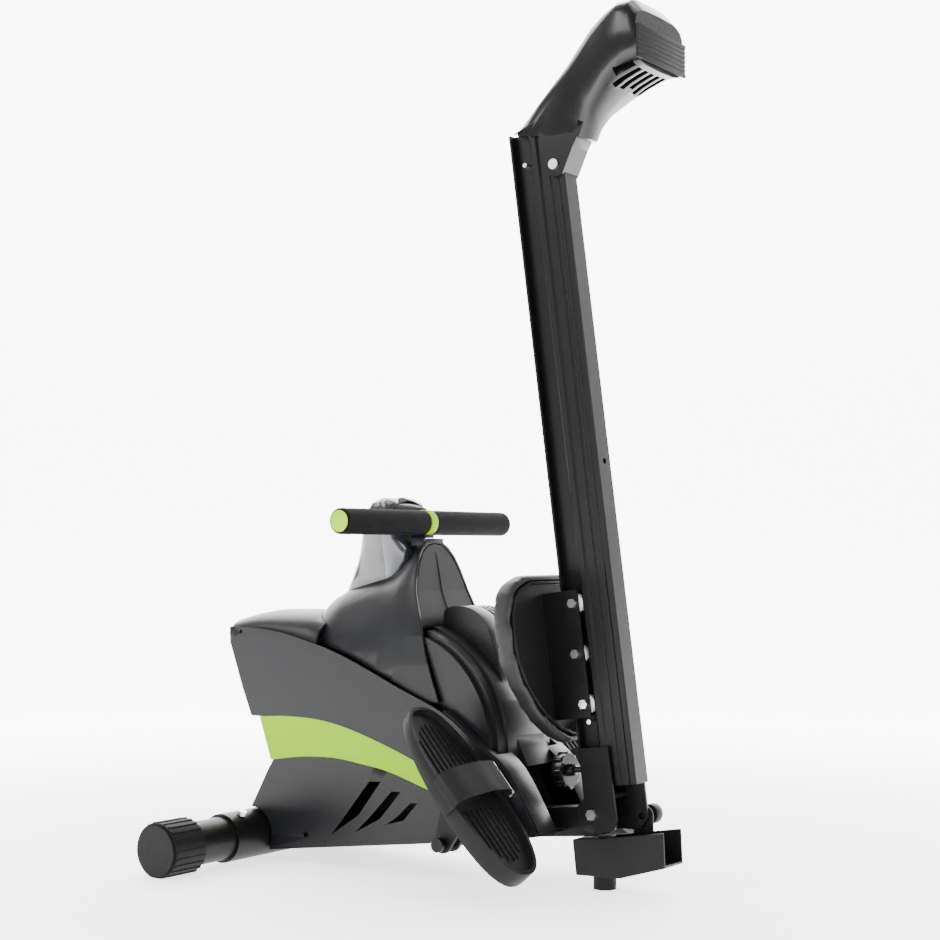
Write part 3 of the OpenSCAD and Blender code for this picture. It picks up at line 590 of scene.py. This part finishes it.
@dataclass
class Housing:
    """Covers of the flywheel housing.

    Attributes:
        covers: Covers with the width of their softened edges.
        screws: Screw names with their place along the machine and height.
        screw_radius: Radius of a screw's head.
        seam_radius: Half thickness of the panel's seam.
        seam_bends: Height and place of the seam where it bends.
        rib_count: Ribs on the console.
        rib_radius: Half thickness of a rib.
        rib_drop: How far the ribs reach down the console's sides.
    """

    machine: Machine
    covers: tuple[tuple[str, float], ...] = (
        ("side_shell_left", 0.0012), ("side_shell_right", 0.0012), ("nose_cover", 0.001),
        ("tower_cover", 0.001), ("tower_rear_panel", 0.0008), ("flywheel_cover", 0.0016),
        ("lime_band_left", 0.0006), ("lime_band_right", 0.0006), ("console_front", 0.002),
        ("console_rear", 0.002))
    screws: tuple[tuple[str, float, float], ...] = (
        ("nose_screw", -0.313, 0.322), ("tail_screw", 0.148, 0.095))
    screw_radius: float = 0.0028
    seam_radius: float = 0.0005
    seam_bends: tuple[tuple[float, float], ...] = ((0.384, -0.0187), (0.36, -0.0099))
    rib_count: int = 9
    rib_radius: float = 0.0008
    rib_drop: float = 0.045

    def screw(self, name: str, x: float, z: float, side: int) -> None:
        """A dark screw head, sunk in a side shell.

        Args:
            name: Piece name.
            x: Place along the machine.
            z: Height.
            side: -1 for the near shell, 1 for the far one.
        """
        r, face = self.screw_radius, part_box("side_shell_right")[1].y
        deep = side * (face - 0.0024)
        profile = [(deep, 0.0004), (deep, r), (deep + side * 0.0006, r), (deep + side * 0.0012, r * 0.7),
                   (deep + side * 0.0014, r * 0.3), (deep + side * 0.0006, 0.0004)]
        made = turned(name, Vector((x, 0, z)), profile, 16)
        self.machine.finishes.paint(made, "black_plastic")
        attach(made, Body.BASE.value)

    def ribs(self) -> None:
        """Fine ribs over the console's rear shoulder."""
        low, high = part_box("console_rear")
        centre = (low + high) / 2
        half = (high.y - low.y) / 2
        for k in range(self.rib_count):
            share = k / (self.rib_count - 1)
            x = low.x + (high.x - low.x) * (0.16 + 0.3 * share)
            top = high.z + 0.0006 - 0.004 * share
            arch = [(math.cos(math.pi * i / 20), math.sin(math.pi * i / 20) ** 0.45) for i in range(21)]
            path = [Vector((x, centre.y + (half + 0.0003) * c, top - self.rib_drop * (1 - s) ** 0.8))
                    for c, s in arch]
            verts, faces = tube_mesh(path, self.rib_radius, 8)
            made = smooth(edit(new_piece(f"console_rib_{k}", verts, faces)), 60)
            self.machine.finishes.paint(made, "black_plastic")
            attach(made, Body.BASE.value)

    def seam(self) -> None:
        """Raised line down the middle of the tower's rear panel."""
        low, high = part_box("tower_rear_panel")
        bends = [(high.z - 0.012, low.x + 0.0062), *self.seam_bends, (low.z + 0.004, -0.0022)]
        path = [Vector((x, 0.0, z)) for z, x in bends]
        verts, faces = tube_mesh(path, self.seam_radius, 8)
        made = smooth(edit(new_piece("tower_panel_seam", verts, faces)), 60)
        self.machine.finishes.paint(made, "black_plastic")
        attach(made, Body.BASE.value)

    def build(self) -> None:
        """Softens the edges of every cover and adds its small fittings."""
        for node, edge in self.covers:
            self.machine.copy_of(node, edge, flat=0.2)
        for side, name in ((-1, "left"), (1, "right")):
            for screw, x, z in self.screws:
                self.screw(f"{screw}_{name}", x, z, side)
        self.seam()
        self.ribs()


@dataclass
class Frame:
    """Steel frame, stabiliser and feet.

    Attributes:
        parts: Nodes with the width of their softened edges.
    """

    machine: Machine
    parts: tuple[tuple[str, float], ...] = (
        ("main_frame", 0.001), ("middle_foot_bracket", 0.0012), ("hinge_plates", 0.001),
        ("stabilizer_cap_left", 0.0008), ("stabilizer_cap_right", 0.0008), ("lock_knob", 0.0015),
        ("rail_knob", 0.0012), ("seat_carriage", 0.0008), ("rail", 0.0004), ("rail_foot_pad", 0.0005),
        ("handle_cradle", 0.001), ("seat_base", 0.001))

    def build(self) -> None:
        """Softens the edges of the frame's parts."""
        for node, edge in self.parts:
            self.machine.copy_of(node, edge)


@dataclass
class Handle:
    """Handlebar grips and the pull strap.

    Attributes:
        round_off: Radius of the grips' outer edges.
        slack: Space between a grip and its bar.
        strap_wide: Width of the pull strap.
        strap_thick: Thickness of the pull strap.
        strap_steps: Rings on the length that is drawn out.
        free_end: Length at the clamp that is drawn out.
    """

    machine: Machine
    round_off: float = 0.004
    slack: float = 0.00005
    strap_wide: float = 0.022
    strap_thick: float = 0.0016
    strap_steps: int = 12
    free_end: float = 0.0045

    def strap(self) -> None:
        """The pull strap, from its roller up through the slot."""
        low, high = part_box("pull_strap")
        exit_z = high.z - self.free_end
        x = high.x - self.strap_thick
        inner = Vector((low.x, 0, low.z))
        path = [inner.lerp(Vector((x, 0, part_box("guide_rollers")[0].z)), i / 4) for i in range(5)]
        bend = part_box("guide_rollers")[1].z
        path += [Vector((x, 0, bend + (exit_z - bend) * i / 3)) for i in range(4)]
        path += [Vector((x, 0, exit_z + (high.z - exit_z) * i / self.strap_steps))
                 for i in range(1, self.strap_steps + 1)]
        verts, faces = [], []
        half = self.strap_wide / 2
        for p in path:
            for side, depth in ((-1, 0.0), (1, 0.0), (1, self.strap_thick), (-1, self.strap_thick)):
                verts.append(p + Vector((depth, side * half, 0)))
        for i in range(len(path) - 1):
            b = i * 4
            faces += [[b + k, b + (k + 1) % 4, b + 4 + (k + 1) % 4, b + 4 + k] for k in range(4)]
        faces += [[3, 2, 1, 0], [len(verts) - 4 + k for k in range(4)]]
        made = smooth(edit(new_piece("pull_strap_webbing", verts, faces)), 50)
        self.machine.finishes.paint(made, "webbing")
        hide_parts("pull_strap")
        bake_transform(made)
        LOG.info("pull strap")

    def grip(self, node: str) -> None:
        """Turns one foam grip.

        Args:
            node: The grip's node.
        """
        low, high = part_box(node)
        middle = (low + high) / 2
        outer = (high.z - low.z) / 2
        bore = (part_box("handle_bar")[1].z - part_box("handle_bar")[0].z) / 2 + self.slack
        side = 1 if middle.y > 0 else -1
        inner_y, end_y = (low.y, high.y) if side > 0 else (high.y, low.y)
        lip = outer - 0.002
        r = self.round_off
        bend = [(end_y - side * r * (1 - math.sin(t)), outer - r * (1 - math.cos(t)))
                for t in [math.pi / 2 * i / 6 for i in range(7)]]
        inner_lip = max(lip, outer - r + 0.0001)
        profile = [(inner_y, bore), (inner_y, outer - 0.001), (inner_y + side * 0.001, outer)] + bend
        profile[-1] = (end_y, inner_lip)
        profile += [(end_y - side * 0.003, lip), (end_y - side * 0.003, bore)]
        made = turned(node + "_foam", Vector((middle.x, 0, middle.z)), profile)
        self.machine.finishes.paint(made, "foam")
        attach(made, Body.HANDLE.value)
        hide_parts(node)
        LOG.info("%s: foam grip", node)

    def build(self) -> None:
        """Makes the strap and both grips, and softens the ring, the end caps and the clamp."""
        self.strap()
        for node in ("foam_grip_left", "foam_grip_right"):
            self.grip(node)
        for node, edge in (("handle_center_ring", 0.0015), ("handle_end_caps", 0.0008),
                           ("strap_clamp", 0.001)):
            self.machine.copy_of(node, edge)


@dataclass
class Footplate:
    """A footplate with its tread ribs, webbing and wire buckle.

    Attributes:
        side: -1 for the near one, 1 for the far one.
        tilt: Slope of the tread.
        offset: From the pivot to the middle of the tread.
        ribs: Ribs on each half of the tread.
        rib_drop: How far the ribs' feet lie below the rim.
        rib_high: Height of a rib.
        bulge: Share by which the webbing bulges outwards.
        half: Half width of the webbing's arch.
        rise: Height of the webbing's arch.
        wide: Width of the webbing.
        thick: Thickness of the webbing.
        tuck: How far the webbing's ends lie below the rim.
        steps: Steps along the webbing.
        wire: Half thickness of the buckle's wire.
    """

    machine: Machine
    side: int
    tilt: float = math.radians(49)
    offset: tuple[float, float, float] = (0.038, 0, 0.072)
    ribs: int = 9
    rib_drop: float = 0.0069
    rib_high: float = 0.0016
    bulge: float = 0.22
    half: float = 0.0605
    rise: float = 0.027
    wide: float = 0.044
    thick: float = 0.0022
    tuck: float = 0.016
    steps: int = 28
    wire: float = 0.0014

    def __post_init__(self) -> None:
        """Works out the footplate's place and directions."""
        self.name = "left" if self.side < 0 else "right"
        self.body = Body.LEFT_FOOTPLATE.value if self.side < 0 else Body.RIGHT_FOOTPLATE.value
        pivot = self.machine.pivot(self.name + "_footplate_tilt")
        self.centre = pivot + Vector(self.offset)
        self.normal = Vector((math.sin(self.tilt), 0, math.cos(self.tilt)))
        self.toe = Vector((-math.cos(self.tilt), 0, math.sin(self.tilt)))

    def at(self, across: float, along: float, up: float) -> Vector:
        """A point of the footplate.

        Args:
            across: Distance outwards along Y.
            along: Distance towards the toe.
            up: Height above the rim.

        Returns:
            The point in the row frame.
        """
        return self.centre + Vector((0, across, 0)) + self.toe * along + self.normal * up

    def tread(self) -> None:
        """Raised ribs that spread over the tread from under the webbing."""
        verts, faces = [], []
        low, high = -self.rib_drop, self.rib_high - self.rib_drop
        for end in (-1, 1):
            for k in range(self.ribs):
                u = (k - (self.ribs - 1) / 2) / (self.ribs - 1) * 2
                reach = 0.112 * math.sqrt(max(0.0, 1 - (u * 0.8) ** 2)) - 0.006
                near, far = 0.026, max(reach, 0.04)
                for along, across in ((near, u * 0.043), (far, u * 0.04)):
                    for w, up in ((-0.0012, low), (0.0012, low), (0.0008, high), (-0.0008, high)):
                        verts.append(self.at(across + w, end * along, up))
                b = len(verts) - 8
                faces += [[b, b + 1, b + 5, b + 4], [b + 1, b + 2, b + 6, b + 5],
                          [b + 2, b + 3, b + 7, b + 6], [b + 3, b, b + 4, b + 7],
                          [b, b + 3, b + 2, b + 1], [b + 4, b + 5, b + 6, b + 7]]
        made = edit(new_piece(self.name + "_tread_ribs", verts, faces))
        self.machine.finishes.paint(made, "black_plastic")
        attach(made, self.body)

    def webbing(self) -> None:
        """The strap over the instep, and its buckle of bent wire."""
        node = "pedal_straps_" + self.name
        half, wide, steps = self.half, self.wide, self.steps
        verts, faces = [], []
        for i in range(steps + 1):
            a = math.pi * i / steps
            ripple = 0.0006 * math.sin(9 * a)
            lift = self.rise * math.sin(a) ** 0.7 + ripple if 0 < i < steps else -self.tuck
            for grow in (0.0, -self.thick):
                for edge in (-1, 1):
                    bulge = self.bulge * abs(math.sin(2 * a)) if self.side * math.cos(a) > 0 else 0.0
                    w = (half + grow) * math.cos(a) * (1 + bulge)
                    verts.append(self.at(w, edge * wide / 2, lift + grow))
        for i in range(steps):
            b, n = i * 4, i * 4 + 4
            faces += [[b, b + 1, n + 1, n], [b + 3, b + 2, n + 2, n + 3], [b + 1, b + 3, n + 3, n + 1],
                      [b + 2, b, n, n + 2]]
        faces += [[0, 2, 3, 1], [steps * 4, steps * 4 + 1, steps * 4 + 3, steps * 4 + 2]]
        made = smooth(edit(new_piece(node + "_webbing", verts, faces)), 50)
        self.machine.finishes.paint(made, "webbing")
        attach(made, self.body)
        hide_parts(node)
        x, low, high = half * 0.9, -wide / 2 - 0.002, wide / 2 + 0.002
        loop = [self.at(x, low, 0.014), self.at(x, high, 0.014), self.at(x + 0.005, high, 0.004),
                self.at(x + 0.005, low, 0.004), self.at(x, low, 0.0139)]
        path = []
        for a, b in zip(loop, loop[1:]):
            path += [a.lerp(b, t / 6) for t in range(6)]
        v, f = tube_mesh(path + [loop[-1]], self.wire)
        wire = smooth(edit(new_piece(self.name + "_buckle", v, f)), 60)
        self.machine.finishes.paint(wire, "zinc")
        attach(wire, self.body)
        LOG.info("%s footplate: webbing and buckle", self.name)

    def build(self) -> None:
        """Makes the footplate's pieces."""
        self.machine.copy_of("pedal_" + self.name, 0.0015)
        self.tread()
        self.webbing()


@dataclass
class Seat:
    """The upholstered seat pad.

    Attributes:
        voxel: Mesh size of the pad in metres.
        frames: Frames of the inflation.
        most: Greatest move of any point, in metres.
    """

    machine: Machine
    voxel: float = 0.005
    frames: int = 14
    most: float = 0.004

    def inflate(self, piece: bpy.types.Object) -> None:
        """Puffs the pad's cover slightly, holding its lower edge.

        Args:
            piece: The pad.
        """
        under = Vector((math.cos(LEAN), 0, math.sin(LEAN)))
        depths = [v.co.dot(under) for v in piece.data.vertices]
        top, bottom = min(depths), max(depths)
        group = piece.vertex_groups.new(name="held")
        for v, d in zip(piece.data.vertices, depths):
            share = (d - top) / (bottom - top)
            group.add([v.index], min(1.0, max(0.0, (share - 0.25) / 0.3)), "REPLACE")
        before = [v.co.copy() for v in piece.data.vertices]
        cloth = piece.modifiers.new("cover", "CLOTH")
        cloth.settings.quality = 5
        cloth.settings.mass = 0.3
        cloth.settings.use_pressure = True
        cloth.settings.uniform_pressure_force = 4.0
        cloth.settings.vertex_group_mass = "held"
        cloth.settings.effector_weights.gravity = 0.0
        cloth.point_cache.frame_start = 1
        cloth.point_cache.frame_end = self.frames
        scene = bpy.context.scene
        for frame in range(1, self.frames + 1):
            scene.frame_set(frame)
        apply_modifiers(piece)
        scene.frame_set(1)
        for v, was in zip(piece.data.vertices, before):
            move = v.co - was
            if move.length > self.most:
                v.co = was + move.normalized() * self.most
        LOG.info("seat pad: inflated")

    def build(self) -> None:
        """Makes the pad."""
        source = self.machine.frame["nodes"]["seat_pad"]
        made = bpy.data.objects.new("seat_cushion", source.data.copy())
        bpy.context.scene.collection.objects.link(made)
        edit(made, lambda bm: bmesh.ops.remove_doubles(bm, verts=bm.verts, dist=1e-5))
        remesh = made.modifiers.new("even", "REMESH")
        remesh.mode = "VOXEL"
        remesh.voxel_size = self.voxel
        soften = made.modifiers.new("soften", "SMOOTH")
        soften.factor = 0.6
        soften.iterations = 6
        apply_modifiers(made)
        self.inflate(made)
        finer = made.modifiers.new("finer", "SUBSURF")
        finer.levels = finer.render_levels = 1
        apply_modifiers(made)
        smooth(made, 70)
        self.machine.finishes.paint(made, "upholstery")
        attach(made, Body.SEAT.value)
        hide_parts("seat_pad")
        LOG.info("seat pad: %d points", len(made.data.vertices))


@dataclass
class RailFoot:
    """The horn-shaped foot at the rail's upper end."""

    machine: Machine

    def build(self) -> None:
        """Softens the foot."""
        self.machine.copy_of("rail_foot", 0.003, flat=0.2, segments=3)


@dataclass
class Studio:
    """Floor, lights and camera.

    Attributes:
        azimuth: Camera angle about the machine, degrees.
        pitch: Upward tilt of the camera, degrees.
        lens: Focal length for a 36 mm sensor.
        reach: Distance from the camera to the machine.
        height: Height of the camera.
        target_x: Place along the machine that the camera turns about.
        glow: Strength of the paper's own light, painted light that also lights the machine.
        glow_near: Distance up to which the paper glows least, painted shade round the machine.
        glow_far: Distance at which the paper is brightest.
        half_width: Half width of the paper.
        front: How far the paper reaches forwards.
        curve: Radius of the paper's curve, which starts as far behind.
        top: Height of the paper.
    """

    azimuth: float = 34.5
    pitch: float = 2.56
    lens: float = 67.8
    reach: float = 2.446
    height: float = 0.441
    target_x: float = 0.028
    glow: float = 6.5
    glow_near: float = 0.4
    glow_far: float = 2.2
    half_width: float = 6.0
    front: float = 4.0
    curve: float = 2.0
    top: float = 6.0

    def lamp(self, name: str, place: Sequence[float], size: float, power: float,
             aim: Sequence[float]) -> None:
        """Adds a soft area light.

        Args:
            name: Light name.
            place: Position.
            size: Edge length.
            power: Watts.
            aim: Point it faces.
        """
        data = bpy.data.lights.new(name, "AREA")
        data.shape = "SQUARE"
        data.size = size
        data.energy = power
        made = bpy.data.objects.new(name, data)
        made.location = place
        made.rotation_euler = (Vector(aim) - Vector(place)).to_track_quat("-Z", "Y").to_euler()
        bpy.context.scene.collection.objects.link(made)

    def floor(self) -> None:
        """A pale floor that curves up behind, with a painted glow that is dimmer near the machine as painted
        shade.
        """
        back = Vector((-math.sin(math.radians(self.azimuth)), math.cos(math.radians(self.azimuth)), 0))
        side = Vector((back.y, -back.x, 0))
        profile = [(0.5 * i - self.front, 0.0) for i in range(13)]
        for angle in (math.pi / 2 * i / 12 for i in range(1, 13)):
            profile.append((self.curve * (1 + math.sin(angle)), self.curve * (1 - math.cos(angle))))
        profile.append((2 * self.curve, self.top))
        verts, faces = [], []
        for d, z in profile:
            verts += [back * d + side * s + Vector((0, 0, z)) for s in (-self.half_width, self.half_width)]
        for i in range(len(profile) - 1):
            faces.append([2 * i, 2 * i + 1, 2 * i + 3, 2 * i + 2])
        made = smooth(new_piece("studio_floor", verts, faces), 40)
        paper = Finish("studio_paper", (0.93, 0.93, 0.93), 0.75, wear=0.004).build()
        graph = Graph(paper)
        # Painted light: the paper glows, at 0.3 of full strength near the middle where the machine stands
        # (painted shade), rising to full strength far away.
        away = graph.node("ShaderNodeVectorMath", {"operation": "LENGTH"}, {0: graph.place()}, "Value")
        share = graph.node("ShaderNodeMapRange", {"interpolation_type": "SMOOTHSTEP"},
                           {"Value": away, "From Min": self.glow_near, "From Max": self.glow_far})
        shader = graph.nodes["Principled BSDF"]
        light = graph.mix(share, (0.3, 0.3, 0.3), (1, 1, 1))
        paper.node_tree.links.new(light.out, shader.inputs["Emission Color"])
        shader.inputs["Emission Strength"].default_value = self.glow
        made.data.materials.append(paper)
        made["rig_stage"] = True

    def camera(self) -> None:
        """Places the camera."""
        a, p = math.radians(self.azimuth), math.radians(self.pitch)
        data = bpy.data.cameras.new("camera")
        data.lens = self.lens
        data.sensor_width = 36.0
        made = bpy.data.objects.new("camera", data)
        made.location = (self.target_x + self.reach * math.sin(a), -self.reach * math.cos(a), self.height)
        look = Vector((-math.sin(a) * math.cos(p), math.cos(a) * math.cos(p), math.sin(p)))
        made.rotation_euler = look.to_track_quat("-Z", "Y").to_euler()
        bpy.context.scene.collection.objects.link(made)
        bpy.context.scene.camera = made

    def build(self) -> None:
        """Sets the whole studio."""
        world = bpy.data.worlds.new("studio")
        world.use_nodes = True
        world.node_tree.nodes["Background"].inputs["Color"].default_value = (1, 1, 1, 1)
        world.node_tree.nodes["Background"].inputs["Strength"].default_value = 0.7
        bpy.context.scene.world = world
        self.floor()
        self.lamp("key_light", (-1.6, -2.2, 2.6), 1.6, 70, (0, 0, 0.4))
        self.lamp("side_light", (2.6, -0.6, 1.6), 1.4, 40, (0, 0, 0.5))
        self.lamp("top_light", (0.0, 0.4, 3.2), 2.2, 60, (0, 0, 0.3))
        self.camera()
        LOG.info("studio ready")


def corners(bounds: object) -> object:
    """Bounds as plain lists.


    Returns:
        Nested lists of floats.
    """
    if isinstance(bounds, dict):
        return {k: corners(v) for k, v in bounds.items()}
    if isinstance(bounds, (Vector, list, tuple)):
        return [corners(v) for v in bounds]
    return float(bounds) if isinstance(bounds, (int, float)) else bounds


def main() -> None:
    """Builds the looks."""
    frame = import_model()
    before = corners(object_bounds())
    machine = Machine(frame, Finishes())
    machine.paint_all()
    for part in (Housing(machine), Frame(machine), Handle(machine), Footplate(machine, -1),
                 Footplate(machine, 1), Seat(machine), RailFoot(machine), Studio()):
        part.build()
    {"frame": before, "looks": corners(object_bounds())}


if __name__ == "__main__":
    main()
